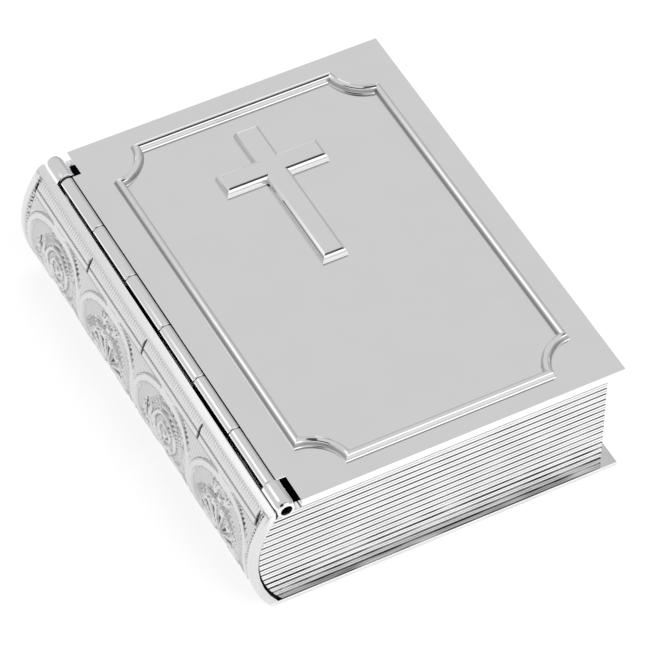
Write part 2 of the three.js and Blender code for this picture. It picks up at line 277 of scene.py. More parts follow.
class Paint:
    """A node tree, and one method that adds any node to it."""

    def __init__(self, tree):
        self.tree = tree

    def node(self, kind, settings=None, inputs=None, output=0):
        added = self.tree.nodes.new(kind)
        for name, value in (settings or {}).items():
            setattr(added, name, value)
        for key, value in (inputs or {}).items():
            if isinstance(value, Signal):
                self.tree.links.new(value.socket, added.inputs[key])
            else:
                added.inputs[key].default_value = value
        return Signal(self, added.outputs[output])

    def place(self, stretch=(1, 1, 1)):
        spot = self.node("ShaderNodeTexCoord", output="Object")
        return self.node("ShaderNodeMapping", None, {"Vector": spot, "Scale": stretch})

    def grain(self, size, stretch=(1, 1, 1), detail=3, roughness=0.55):
        """Noise from 0 to 1 whose lumps are about size across, in metres."""
        spot = self.place(stretch)
        inputs = {"Vector": spot, "Scale": 1 / size, "Detail": detail, "Roughness": roughness}
        return self.node("ShaderNodeTexNoise", None, inputs, "Fac")

    def mark(self, name):
        """A value from 0 to 1 kept on the mesh's own vertices."""
        return self.node("ShaderNodeAttribute", {"attribute_name": name}, output="Fac")

    def blend(self, amount, first, second):
        """A colour between two, by an amount from 0 to 1."""
        first, second = (c if isinstance(c, Signal) else (*c, 1) for c in (first, second))
        return self.node("ShaderNodeMix", {"data_type": "RGBA"}, {0: amount, 6: first, 7: second}, 2)

    def bump(self, height, strength, depth):
        inputs = {"Height": height, "Strength": strength, "Distance": depth}
        return self.node("ShaderNodeBump", None, inputs)


class Finish(Paint):
    """A material with one Principled shader."""

    def __init__(self, name, **uniform):
        self.material = bpy.data.materials.new(name)
        self.material.use_nodes = True
        super().__init__(self.material.node_tree)
        self.shader = self.tree.nodes["Principled BSDF"]
        for socket, value in uniform.items():
            self.shader.inputs[socket.replace("_", " ")].default_value = value

    def feed(self, **signals):
        for socket, signal in signals.items():
            self.tree.links.new(signal.socket, self.shader.inputs[socket.replace("_", " ")])
        return self.material


# Near-black colour of the painted shade, laid where the mesh is marked
PAINTED_SHADE_COLOUR = (0.03, 0.03, 0.032)


def silver(name, bright, dull, smooth, worn, ripple):
    """Polished silver plate with faint clouds and wiping marks, and near-black painted shade where the mesh
    is marked.
    """
    finish = Finish(name, Metallic=1.0)
    clouds = finish.grain(CLOUD_SIZE)
    wiping = finish.grain(WIPING_SIZE, stretch=(1, 0.12, 1), detail=2)
    painted_shade = finish.mark("painted_shade")
    clean = finish.blend(clouds.rising(0.35, 0.7), bright, dull)
    polish = smooth + (worn - smooth) * (clouds * 0.6 + wiping * 0.4).rising(0.35, 0.75)
    surface = finish.bump(finish.grain(RIPPLE_SIZE, detail=2), ripple, RIPPLE_DEPTH)
    return finish.feed(Base_Color=finish.blend(painted_shade, clean, PAINTED_SHADE_COLOUR), Roughness=polish + 0.4 * painted_shade,
                       Normal=surface)


def relief_silver():
    """Cast silver plate, darkened as painted shade on its ground and below its top rim, which stays light
    as a painted highlight, and painted near-black as shade in its deepest corners.
    """
    finish = Finish("relief_silver", Metallic=1.0)
    ground = finish.mark("ground")
    painted_shade = finish.mark("painted_shade")
    grain = finish.grain(CAST_SIZE, detail=2)
    # The ground mark paints shade, darkening the plate's colour towards half of it
    clean = finish.blend(ground + 0.2 * grain - 0.1, (0.95, 0.95, 0.955), (0.5, 0.5, 0.505))
    return finish.feed(Base_Color=finish.blend(painted_shade, clean, PAINTED_SHADE_COLOUR),
                       Roughness=0.12 + 0.1 * ground + 0.05 * grain + 0.25 * painted_shade,
                       Normal=finish.bump(grain, 0.12, CAST_DEPTH))


def drawn_steel():
    """Bright steel with fine lines along the pin."""
    finish = Finish("drawn_steel", Metallic=1.0)
    lines = finish.grain(DRAWN_SIZE, stretch=(1, 0.03, 1), detail=2)
    colour = finish.blend(lines, (0.5, 0.51, 0.52), (0.62, 0.63, 0.64))
    surface = finish.bump(lines, 0.2, DRAWN_DEPTH)
    return finish.feed(Base_Color=colour, Roughness=0.22 + 0.15 * lines, Normal=surface)


def velvet():
    """Short-pile dark blue cloth: brushed patches lightened as painted sheen, over a fine nap."""
    finish = Finish("blue_velvet", Roughness=0.9, Sheen_Weight=0.5, Sheen_Roughness=0.35,
                    Sheen_Tint=(0.35, 0.42, 0.8, 1))
    brushed = finish.grain(BRUSHED_SIZE)
    nap = finish.grain(PILE_SIZE, detail=2)
    # Painted sheen where the pile is brushed
    painted_sheen = (0.65 * brushed + 0.35 * nap).rising(0.3, 0.72)
    colour = finish.blend(painted_sheen, (0.006, 0.01, 0.045), (0.03, 0.045, 0.15))
    height = nap + 0.6 * finish.grain(TUFT_SIZE)
    return finish.feed(Base_Color=colour, Normal=finish.bump(height, 0.5, PILE_DEPTH))


def lining_card():
    """Pale grey-brown board with flecks."""
    finish = Finish("lining_card", Roughness=0.92)
    flecks = finish.grain(FLECK_SIZE, detail=4)
    light = (0.5 * flecks + 0.5 * finish.grain(CARD_TONE_SIZE)).rising(0.35, 0.65)
    colour = finish.blend(light, (0.43, 0.39, 0.33), (0.58, 0.54, 0.47))
    return finish.feed(Base_Color=colour, Normal=finish.bump(flecks, 0.3, FLECK_DEPTH))


def pressed_felt():
    """Near-black felt with matted fibres."""
    finish = Finish("pressed_felt", Roughness=0.97, Sheen_Weight=0.25, Sheen_Roughness=0.5)
    fibres = finish.grain(FIBRE_SIZE, stretch=(1, 0.35, 1), detail=5, roughness=0.7)
    light = (0.6 * fibres + 0.4 * finish.grain(FELT_TONE_SIZE)).rising(0.3, 0.7)
    colour = finish.blend(light, (0.012, 0.012, 0.016), (0.05, 0.05, 0.058))
    return finish.feed(Base_Color=colour, Normal=finish.bump(fibres, 0.6, FIBRE_DEPTH))


plate = silver("silver_plate", bright=(0.955, 0.955, 0.96), dull=(0.94, 0.94, 0.945),
               smooth=0.035, worn=0.065, ripple=0.05)
page_silver = silver("page_silver", bright=(0.96, 0.96, 0.96), dull=(0.92, 0.92, 0.925),
                     smooth=0.09, worn=0.2, ripple=0.15)
# A darker copy of the silver plate for the base, as painted shade
shaded_flange_silver = silver("shaded_flange_silver", bright=(0.84, 0.84, 0.84), dull=(0.76, 0.76, 0.765),
                       smooth=0.08, worn=0.16, ripple=0.15)
relief = relief_silver()
steel = drawn_steel()
blue_velvet = velvet()
card = lining_card()
felt = pressed_felt()


# Making pieces

SHARP = math.radians(50)
BEVEL_STEPS = 3


def made(name, shape, finish, body, node, crisp=True, sharp=SHARP):
    """A finished piece of a bmesh, which rides on its body and stands for a CAD node."""
    bmesh.ops.recalc_face_normals(shape, faces=shape.faces)
    mesh = bpy.data.meshes.new(name)
    shape.to_mesh(mesh)
    shape.free()
    mesh.materials.append(finish)
    mesh.shade_smooth()
    mesh.set_sharp_from_angle(angle=sharp)
    piece = bpy.data.objects.new(name, mesh)
    bpy.context.scene.collection.objects.link(piece)
    if crisp:
        weighted = piece.modifiers.new("Crisp flats", "WEIGHTED_NORMAL")
        weighted.keep_sharp = True
    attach(piece, body)
    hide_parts(node)
    return piece


def once(elements):
    """Each element once, in the order in which it first comes."""
    return list(dict.fromkeys(elements))


def rounded(shape, edges, size):
    bmesh.ops.bevel(shape, geom=edges, offset=size, offset_type="OFFSET", segments=BEVEL_STEPS,
                    profile=0.5, affect="EDGES", material=-1)


def block(shape, low, high, round_by):
    """A box between two corners, with rounded edges."""
    corners = bmesh.ops.create_cube(shape, size=1)["verts"]
    bmesh.ops.scale(shape, vec=high - low, verts=corners)
    bmesh.ops.translate(shape, vec=(low + high) / 2, verts=corners)
    rounded(shape, once(e for v in corners for e in v.link_edges), round_by)


def chain(shape, points, closed=True):
    """Edges through a row of points."""
    verts = [shape.verts.new(p) for p in points]
    pairs = list(zip(verts, verts[1:] + verts[:1] if closed else verts[1:]))
    return [shape.edges.new(pair) for pair in pairs]


def turned(shape, profile, closed=False):
    """A profile of radius and Y, spun about the hinge's axis."""
    edges = chain(shape, [(AXIS.x + r, y, AXIS.z) for r, y in profile], closed)
    geometry = edges + once(v for e in edges for v in e.verts)
    bmesh.ops.spin(shape, geom=geometry, cent=AXIS, axis=(0, 1, 0), angle=2 * math.pi,
                   steps=ROUND_STEPS, use_merge=True, use_duplicate=False)


def tube_grid(shape, around, along, place, marks=()):
    """A grid rolled into a tube. place gives X, Y and Z for a step around and one along, then a value for
    each of the marks. Returns the edges of the tube's two ends."""
    layers = [shape.verts.layers.float.new(name) for name in marks]
    found = {}
    for v in bmesh.ops.create_grid(shape, x_segments=around, y_segments=along, size=0.5)["verts"]:
        i, j = round((v.co.x + 0.5) * around), round((v.co.y + 0.5) * along)
        found[i, j] = v
        x, y, z, *values = place(i % around, j)
        v.co = (x, y, z)
        for layer, value in zip(layers, values):
            v[layer] = value
    bmesh.ops.weld_verts(shape, targetmap={found[around, j]: found[0, j] for j in range(along + 1)})
    return [[shape.edges.get((found[i, j], found[(i + 1) % around, j])) for i in range(around)]
            for j in (0, along)]


def raised_face(shape, outline, height):
    """Extrudes the face inside an outline. Returns the raised face."""
    face = bmesh.ops.contextual_create(shape, geom=outline)["faces"][0]
    grown = bmesh.ops.extrude_face_region(shape, geom=[face], use_keep_orig=True)["geom"]
    corners = [v for v in grown if isinstance(v, bmesh.types.BMVert)]
    bmesh.ops.translate(shape, vec=(0, 0, height), verts=corners)
    bmesh.ops.recalc_face_normals(shape, faces=shape.faces)
    return next(f for f in grown if isinstance(f, bmesh.types.BMFace))


# Lid

def scooped_outline(inset, rise):
    """Points of the border's outline: straight sides, with a hollow quarter circle at each corner."""
    x0, x1 = NOTCH + BORDER_INSET_SPINE, lid_high.x - BORDER_INSET_FORE
    y0, y1 = TAIL + BORDER_INSET_TAIL, HEAD - BORDER_INSET_HEAD
    reach = SCOOP_RADIUS + inset
    trim = math.asin(inset / reach)
    points = []
    for x, y, start in ((x1, y0, 180), (x1, y1, 270), (x0, y1, 0), (x0, y0, 90)):
        for i in range(SCOOP_STEPS + 1):
            angle = math.radians(start) - trim - (math.pi / 2 - 2 * trim) * i / SCOOP_STEPS
            points.append((x + reach * math.cos(angle), y + reach * math.sin(angle), LID_TOP + rise))
    return points


def side_share(step):
    """0 on the border's tail and head sides and 1 on its long sides, by a step round its corners."""
    corner, turn = divmod(step, SCOOP_STEPS + 1)
    return turn / SCOOP_STEPS if corner % 2 == 0 else 1 - turn / SCOOP_STEPS


def polished_lid():
    """A plate notched at the spine, whose edge follows the barrel, with a border raised from its top."""
    shape = bmesh.new()
    barrel_tail = knuckles_low.y - BARREL_GAP
    barrel_head = knuckles_high.y + BARREL_GAP
    root = AXIS.x + math.sqrt(LID_ROOT_RADIUS ** 2 - (LID_TOP - AXIS.z) ** 2)
    plan = [(lid_high.x, TAIL), (lid_high.x, HEAD), (NOTCH, HEAD), (NOTCH, barrel_head),
            (root, barrel_head), (root, barrel_tail), (NOTCH, barrel_tail), (NOTCH, TAIL)]
    raised_face(shape, chain(shape, [(x, y, lid_low.z) for x, y in plan]), LID_TOP - lid_low.z)
    rounded(shape, [e for e in shape.edges if max(v.co.x for v in e.verts) > root + BARREL_GAP], LID_EDGE)
    for i in range(1, CORNER_LEVELS):
        level = lid_low.z + (LID_TOP - lid_low.z) * i / CORNER_LEVELS
        side = [f for f in shape.faces if abs(f.normal.z) < 0.5]
        geometry = side + once(e for f in side for e in f.edges) + once(v for f in side for v in f.verts)
        bmesh.ops.bisect_plane(shape, geom=geometry, plane_co=(0, 0, level), plane_no=(0, 0, 1))
    for v in shape.verts:
        if v.co.x < root + BARREL_GAP and barrel_tail - BARREL_GAP < v.co.y < barrel_head + BARREL_GAP:
            v.co.x = AXIS.x + math.sqrt(LID_ROOT_RADIUS ** 2 - (v.co.z - AXIS.z) ** 2)
    top = max(shape.faces, key=lambda f: f.calc_area() * f.normal.z)
    rim = list(top.edges)
    bmesh.ops.delete(shape, geom=[top], context="FACES_ONLY")
    slopes = [*BORDER_SLOPE, *[(BORDER_WIDTH - u, h, t) for u, h, t in reversed(BORDER_SLOPE)]]
    rings = [scooped_outline(u * MM, h * MM) for u, h, painted_shade in slopes]

    # Each ring carries the painted shade of its step, lighter on the border's tail and head sides
    def place(i, j):
        share = SHORT_SIDE_SHADE + (1 - SHORT_SIDE_SHADE) * side_share(i)
        return *rings[j][i], slopes[j][2] * share

    outer, inner = tube_grid(shape, len(rings[0]), len(rings) - 1, place, ["painted_shade"])
    bmesh.ops.triangle_fill(shape, use_beauty=True, edges=rim + outer, normal=(0, 0, 1))
    bmesh.ops.contextual_create(shape, geom=inner)
    made("polished_lid", shape, plate, "lid", "lid_cover", sharp=FACET_ANGLE)


def raised_cross():
    """A cross with sloping sides and a flat top, whose foot is sunk a little into the lid."""
    shape = bmesh.new()
    x = (cross_low.x + cross_high.x) / 2
    stem = CROSS_STEM / 2
    arm_top = cross_high.y - CROSS_HEAD
    arm_foot = arm_top - CROSS_ARM
    right = [(x + stem, cross_low.y), (x + stem, arm_foot), (cross_high.x, arm_foot),
             (cross_high.x, arm_top), (x + stem, arm_top), (x + stem, cross_high.y)]
    left = [(2 * x - u, v) for u, v in reversed(right)]
    outline = chain(shape, [(u, v, LID_TOP - CROSS_ROOT) for u, v in right + left])
    face = raised_face(shape, outline, CROSS_ROOT)
    reach, rise = 0, 0
    for inwards, upwards in CROSS_PROFILE:
        bmesh.ops.inset_region(shape, faces=[face], thickness=(inwards - reach) * MM,
                               depth=(upwards - rise) * MM, use_boundary=True, use_even_offset=True)
        reach, rise = inwards, upwards
    # Painted shade on the sloping sides between the crease's foot and height
    painted_shade = shape.verts.layers.float.new("painted_shade")
    for v in shape.verts:
        v[painted_shade] = CREASE_SHADE if CREASE_FOOT < v.co.z - LID_TOP < CREASE_HEIGHT else 0
    made("raised_cross", shape, plate, "lid", "lid_cross", sharp=FACET_ANGLE)


# Hinge

def knuckle_profile(y0, y1):
    """Radius and Y round a knuckle's wall, with its two outer edges rounded."""
    edge = KNUCKLE_EDGE
    soft = edge * (1 - math.sqrt(0.5))
    return [(BORE_RADIUS, y0), (BARREL_RADIUS - edge, y0), (BARREL_RADIUS - soft, y0 + soft),
            (BARREL_RADIUS, y0 + edge), (BARREL_RADIUS, y1 - edge), (BARREL_RADIUS - soft, y1 - soft),
            (BARREL_RADIUS - edge, y1), (BORE_RADIUS, y1)]


def hinge_leaf(name, node, body, first, strip, tab):
    """A leaf strip, and every second knuckle from the first, each with a tab that joins it to the strip.
    strip and tab each give two corners as X and Z."""
    shape = bmesh.new()
    (x0, z0), (x1, z1) = strip
    block(shape, Vector((x0, knuckles_low.y, z0)), Vector((x1, knuckles_high.y, z1)), LEAF_EDGE)
    (x0, z0), (x1, z1) = tab
    for i in range(first, KNUCKLE_COUNT, 2):
        start = knuckles_low.y + i * KNUCKLE_PITCH
        end = start + KNUCKLE_PITCH
        block(shape, Vector((x0, start + KNUCKLE_GAP / 2, z0)), Vector((x1, end - KNUCKLE_GAP / 2, z1)),
              LEAF_EDGE)
        turned(shape, knuckle_profile(start, end - KNUCKLE_GAP), closed=True)
    made(name, shape, plate, body, node)


def hinge_leaves():
    """One leaf lies under the lid and the other stands against the inner wall behind the spine."""
    under_lid = lid_leaf_low.z + LEAF_THICKNESS - LEAF_LAP
    hinge_leaf("lid_hinge_knuckles", "lid_hinge_leaf", "lid", 0,
               ((AXIS.x + SWEEP_RADIUS, under_lid), (lid_leaf_high.x, lid_low.z)),
               ((AXIS.x + BORE_RADIUS, under_lid), (AXIS.x + SWEEP_RADIUS + LEAF_EDGE, lid_low.z)))
    against_wall = knuckles_low.x + LEAF_THICKNESS
    hinge_leaf("tray_hinge_knuckles", "body_hinge_leaf", "box", 1,
               ((knuckles_low.x, knuckles_low.z), (against_wall, AXIS.z - SWEEP_RADIUS)),
               ((knuckles_low.x, AXIS.z - SWEEP_RADIUS - LEAF_EDGE), (against_wall, AXIS.z)))


def hinge_boss(side):
    """A bullet-shaped boss with a foot: side -1 has the open pin hole, side 1 is closed."""
    shape = bmesh.new()
    end = side * LENGTH / 2
    root = side * -boss_high.y
    floor = end - side * BOSS_HOLE_DEPTH
    profile = [(BORE_RADIUS, floor), (BORE_RADIUS, root), (BOSS_RADIUS - LEAF_EDGE, root),
               (BOSS_RADIUS, root + side * LEAF_EDGE)]
    for i in range(NOSE_STEPS + 1):
        angle = math.radians(90 * i / NOSE_STEPS)
        radius = BOSS_NOSE_RADIUS + (BOSS_RADIUS - BOSS_NOSE_RADIUS) * math.cos(angle)
        profile.append((radius, end - side * BOSS_NOSE_LENGTH * (1 - math.sin(angle))))
    if side < 0:
        profile += [(BOSS_HOLE_RADIUS + LEAF_EDGE, end), (BOSS_HOLE_RADIUS, end + LEAF_EDGE),
                    (BOSS_HOLE_RADIUS, floor)]
        turned(shape, profile, closed=True)
    else:
        turned(shape, [(0, floor), *profile, (0, end)])
    foot_ends = sorted((root, end - side * LEAF_THICKNESS))
    foot_low = Vector((AXIS.x - BOSS_FOOT_HALF_WIDTH, foot_ends[0], boss_low.z))
    foot_high = Vector((AXIS.x + BOSS_FOOT_HALF_WIDTH, foot_ends[1], AXIS.z - BORE_RADIUS))
    block(shape, foot_low, foot_high, LEAF_EDGE)
    bmesh.ops.remove_doubles(shape, verts=shape.verts, dist=WELD)
    # Painted shade: the pin hole's bore is painted near-black, as the shade deep inside it
    painted_shade = shape.verts.layers.float.new("painted_shade")
    for v in shape.verts:
        off_axis = math.hypot(v.co.x - AXIS.x, v.co.z - AXIS.z)
        v[painted_shade] = 1.0 if off_axis < BOSS_HOLE_RADIUS + LEAF_EDGE / 2 else 0.0
    word = "tail" if side < 0 else "head"
    made(f"{word}_boss", shape, plate, "box", f"{word}_hinge_boss")


# Page walls

def leaf_section():
    """Points up the wall, from the foot to the top: a step out of it, a height and the painted shade there.
    The leaves stand between narrow grooves painted dark as shade, and the lowest ones carry painted shade
    all over."""
    pitch = (fore_high.z - fore_low.z) / LEAF_COUNT
    points = [(0, fore_low.z, 0), (WALL_THICKNESS, fore_low.z, 1)]
    for i in range(LEAF_COUNT):
        foot = fore_low.z + i * pitch
        groove = GROOVE_HALF_WIDTH * (WORN_GROOVE if i < WORN_LEAVES else 1)
        width = pitch - 2 * groove
        overall = LOW_LEAF_SHADE[i] if i < len(LOW_LEAF_SHADE) else 0
        if i > 0:
            points.append((WALL_THICKNESS - GROOVE_DEPTH, foot, 1))
        for share, depth, painted_shade in LEAF_PROFILE:
            points.append((WALL_THICKNESS - depth, foot + groove + share * width, max(painted_shade, overall)))
    return [*points, (WALL_THICKNESS, fore_high.z, 0), (0, fore_high.z, 0)]


def swept_wall(name, node, put, low_end, high_end):
    """A ribbed wall with patchy painted shade. put turns a step out of the wall and a place along it into X
    and Y, and the two ends give that place by the step out and the height."""
    shape = bmesh.new()
    section = leaf_section()

    def place(i, j):
        out, z, painted_shade = section[i]
        start, end = low_end(out, z), high_end(out, z)
        x, y = put(out, start + (end - start) * j / WALL_STEPS)
        patchy = 0.95 + 0.5 * noise.noise(Vector((x / PATCH_LENGTH, y / PATCH_LENGTH, z / PATCH_HEIGHT)))
        return x, y, z, min(1, painted_shade * patchy)

    for loop in tube_grid(shape, len(section), WALL_STEPS, place, ["painted_shade"]):
        bmesh.ops.contextual_create(shape, geom=loop)
    made(name, shape, page_silver, "box", node)


def inside_spine(z):
    """X of the spine's hollow side, with the walls' clearance, which opens towards the foot."""
    low = max(0, 1 - (z - fore_low.z) / FOOT_GAP_HEIGHT)
    reach = spine_radius - SPINE_THICKNESS - 2 * MITRE_GAP - FOOT_GAP * low
    return spine_centre.x - math.sqrt(reach ** 2 - (z - spine_centre.z) ** 2)


def page_walls():
    """Two short walls from the spine to the fore corners, and a long one between them, mitred together."""
    for side, word in ((-1, "tail"), (1, "head")):
        inside = tail_high.y * -side
        swept_wall(f"{word}_pages", f"{word}_page_wall",
                   lambda out, along: (along, inside + side * out),
                   lambda out, z: inside_spine(z),
                   lambda out, z: fore_low.x + out - MITRE_GAP)
    swept_wall("fore_pages", "fore_page_wall",
               lambda out, along: (fore_low.x + out, along),
               lambda out, z: tail_high.y - out + MITRE_GAP,
               lambda out, z: -tail_high.y + out - MITRE_GAP)


# Spine

spine_swell = NOTCH - SPINE_EDGE_REACH - spine_low.x
spine_half_chord = (spine_high.z - base_low.z) / 2
spine_radius = (spine_half_chord ** 2 + spine_swell ** 2) / (2 * spine_swell)
spine_centre = Vector((spine_low.x + spine_radius, 0, (spine_high.z + base_low.z) / 2))


def arc_angle(radius, z):
    return math.asin((z - spine_centre.z) / radius)


def on_arc(radius, angle):
    """X and Z on an arc about the spine's centre, by the angle above the middle height."""
    return spine_centre.x - radius * math.cos(angle), spine_centre.z + radius * math.sin(angle)


class Carving:
    """Heights of ornament over the spine's skin, in millimetres, drawn about a centre. The first direction
    runs with Y and the second up round the arc."""

    def __init__(self, along, up):
        self.along = along
        self.up = up
        self.centre = (0, 0)
        self.height = np.zeros((len(along), len(up)))

    def bead(self, spot, half_width, top):
        p, q = spot[0] + self.centre[0], spot[1] + self.centre[1]
        rows = slice(*np.searchsorted(self.along, (p - half_width, p + half_width)))
        columns = slice(*np.searchsorted(self.up, (q - half_width, q + half_width)))
        across = (self.along[rows] - p)[:, None] ** 2 + (self.up[columns] - q)[None, :] ** 2
        heights = top * np.clip(1 - across / half_width ** 2, 0, None) ** 0.6
        self.height[rows, columns] = np.maximum(self.height[rows, columns], heights)

    def line(self, points, half_widths, tops, belly=0.0):
        """A round-backed line, whose half width and top go from a first to a last value. It swells by belly
        half way along."""
        share = np.linspace(0, 1, len(points))
        widths = np.interp(share, (0, 1), half_widths) + belly * np.sin(math.pi * share)
        for spot, half_width, top in zip(points, widths, np.interp(share, (0, 1), tops)):
            self.bead(spot, half_width, top)


def spiral(centre, outer, inner, start, turns, count=240):
    """Points of a volute that winds in from its outer end."""
    share = np.linspace(0, 1, count)
    radius = outer + (inner - outer) * share
    angle = math.radians(start) + 2 * math.pi * turns * share
    return np.column_stack((centre[0] + radius * np.cos(angle), centre[1] + radius * np.sin(angle)))


def leaf(root, heading, length, bend, count=40):
    """Points of a leaf that sets out at a heading and turns by bend."""
    angle = np.radians(heading + bend * np.linspace(0, 1, count))
    steps = np.column_stack((np.cos(angle), np.sin(angle))) * length / (count - 1)
    return np.asarray(root) + np.cumsum(steps, axis=0)


def polar(centre, radius, heading):
    """The point at a radius and a heading from a centre."""
    angle = math.radians(heading)
    return centre[0] + radius * math.cos(angle), centre[1] + radius * math.sin(angle)


def scroll_motif(carve):
    """A large volute with a smaller one against it, and feathered leaves that spring from both."""
    carve.line(spiral(LARGE_VOLUTE, 5.2, 0.5, -80, 2.3), (0.5, 0.34), (0.54, 0.46))
    carve.line(spiral(LARGE_VOLUTE, 6.3, 5.7, -40, 0.75), (0.26, 0.2), (0.42, 0.3))
    carve.line(spiral(LARGE_VOLUTE, 7.2, 6.9, 10, 0.5), (0.24, 0.2), (0.36, 0.26))
    carve.bead(LARGE_VOLUTE, 0.75, 0.56)
    carve.line(spiral(SMALL_VOLUTE, 3.4, 0.4, 165, -1.9), (0.44, 0.3), (0.52, 0.42))
    carve.line(spiral(SMALL_VOLUTE, 4.4, 4.2, 140, -0.6), (0.24, 0.18), (0.36, 0.26))
    carve.bead(SMALL_VOLUTE, 0.55, 0.52)
    for heading, length in ((150, 4.6), (172, 5.4), (194, 5.9), (216, 5.8), (238, 5.4), (262, 4.6),
                            (288, 3.8)):
        carve.line(leaf((-1.2, -3.9), heading, length, -42), (0.22, 0.16), (0.5, 0.3), belly=0.3)
    for heading, length in ((-12, 4.4), (12, 4.9), (36, 5.2), (60, 4.9), (84, 4.2)):
        carve.line(leaf((3.4, 0.2), heading, length, 40), (0.2, 0.14), (0.5, 0.3), belly=0.3)
    for heading in range(80, 272, 24):
        root = polar(LARGE_VOLUTE, 6.4, heading)
        carve.line(leaf(root, heading + 24, 2.3, 70), (0.2, 0.14), (0.42, 0.26), belly=0.16)
    for heading, length in ((250, 4.2), (272, 4.6), (294, 4.2)):
        carve.line(leaf((7.4, -2.2), heading, length, -36), (0.2, 0.14), (0.46, 0.28), belly=0.22)


def shell_motif(carve):
    """A fan of petals under arches, on two small volutes and a drop of leaves."""
    for heading in PETAL_HEADINGS:
        length = 5.0 + 2.1 * math.sin(math.radians(heading))
        carve.line(leaf(FAN_ROOT, heading, length, 0), (0.16, 0.92), (0.32, 0.56))
    for radius, top in ((7.9, 0.34), (8.6, 0.42), (9.3, 0.3)):
        carve.line(spiral((0, -3.1), radius, radius, 22, 0.378), (0.22, 0.22), (top, top))
    for side, start, turns in ((-1, 60, 1.8), (1, 120, -1.8)):
        carve.line(spiral((4.3 * side, -5.1), 2.6, 0.3, start, turns), (0.4, 0.28), (0.52, 0.42))
        carve.bead((4.3 * side, -5.1), 0.45, 0.5)
        for heading, length in ((78, 2.6), (52, 3.4), (26, 3.0)):
            crown = leaf((1.6 * side, 5.9), 90 - (90 - heading) * side, length, 40 * side)
            carve.line(crown, (0.18, 0.12), (0.46, 0.28), belly=0.2)
            flank = leaf((7.0 * side, -4.6), 90 + (60 - heading) * side, length + 1, 30 * side)
            carve.line(flank, (0.18, 0.12), (0.44, 0.26), belly=0.2)
    for spread in (-66, -44, -22, 0, 22, 44, 66):
        drop = leaf((0, -4.6), 270 + spread, 4.0 - abs(spread) / 50, 0)
        carve.line(drop, (0.16, 0.14), (0.46, 0.3), belly=0.28)
    carve.bead((0, 6.2), 0.8, 0.56)
    carve.bead((0, -3.6), 1.0, 0.58)


def panel_centres(half_along, half_up):
    return [((2 * i + 1 - PANELS) * half_along, FOOT_BORDER + half_up) for i in range(PANELS)]


def dark_cuts(cuts, half_along, half_up):
    """Cuts darkened with painted shade: down a fan's petals, beside a volute and across the reeds where two
    panels meet.
    """
    for i, cuts.centre in enumerate(panel_centres(half_along, half_up)):
        if i % 2:
            cuts.line(leaf((6.0, 4.6), 248, 4.6, 34), (0.12, 0.16), (1, 1), belly=0.16)
            cuts.line(leaf((-5.6, 5.6), 215, 3.0, 50), (0.12, 0.14), (1, 1), belly=0.12)
            continue
        for heading in PETAL_HEADINGS[1:-1]:
            cuts.line(leaf(polar(FAN_ROOT, 2.9, heading), heading, 3.4, 0), (0.1, 0.4), (1, 1))
    for i in range(PANELS + 1):
        cuts.centre = ((2 * i - PANELS) * half_along, cuts.up[-1])
        cuts.line(leaf((0.5, -1.9), 272, 3.0, -24), (0.16, 0.2), (1, 1), belly=0.14)


def ridge(distance, half_width, top):
    return top * np.clip(1 - (distance / half_width) ** 2, 0, None)


def dome(distance, radius, top):
    return top * np.clip(1 - (distance / radius) ** 2, 0, None) ** 0.5


def ramp(values, low, high):
    """0 below low and 1 above high, with a smooth rise between."""
    share = np.clip((values - low) / (high - low), 0, 1)
    return share * share * (3 - 2 * share)


def waves(places, pitch):
    return np.cos(2 * math.pi * places / pitch)


def from_nearest(places, pitch):
    """Distances from the nearest of a row of marks, a pitch apart."""
    return (places + pitch / 2) % pitch - pitch / 2


def blurred(heights, reach):
    """Means over a square of cells, which is what stands round each cell."""
    padded = np.pad(heights, reach, mode="edge")
    shifts = range(-reach, reach + 1)
    total = sum(np.roll(padded, (i, j), (0, 1)) for i in shifts for j in shifts)
    return total[reach:-reach, reach:-reach] / (2 * reach + 1) ** 2


def panel_frame(across, upwards, half_along, half_up):
    """1 inside a panel's rounded frame and 0 beyond it, and the height of the frame, a band with edges."""
    power = PANEL_SQUARENESS
    oval = (abs(across / half_along) ** power + abs(upwards / half_up) ** power) ** (1 / power)
    beyond = (oval - 1) * np.hypot(across, upwards) / np.maximum(oval, 0.01)
    band = 0.4 * ramp(beyond, -1.3, -1.0) * (1 - ramp(beyond, 0, 0.3))
    frame_height = np.maximum.reduce([ridge(beyond, 0.34, 0.5), ridge(beyond + 1.2, 0.26, 0.46), band])
    return 1 - ramp(beyond, -1.9, -1.5), frame_height


def top_strip(y, from_top):
    """Heights of the strip above the panels: a band between two edges, then reeds and a row of beads."""
    reeds = (0.4 + 0.05 * waves(y, REED_PITCH)) * (1 - ramp(from_top, 3.7, 4.1))
    beads = dome(np.hypot(from_top - 1.9, from_nearest(y, REED_PITCH)), 0.3, 0.5)
    band = 0.4 * ramp(from_top, 3.9, 4.3) * (1 - ramp(from_top, 5.0, 5.4))
    edges = [ridge(from_top - 4.15, 0.24, 0.5), ridge(from_top - 5.15, 0.24, 0.46)]
    return np.maximum.reduce([reeds, beads, band, *edges])


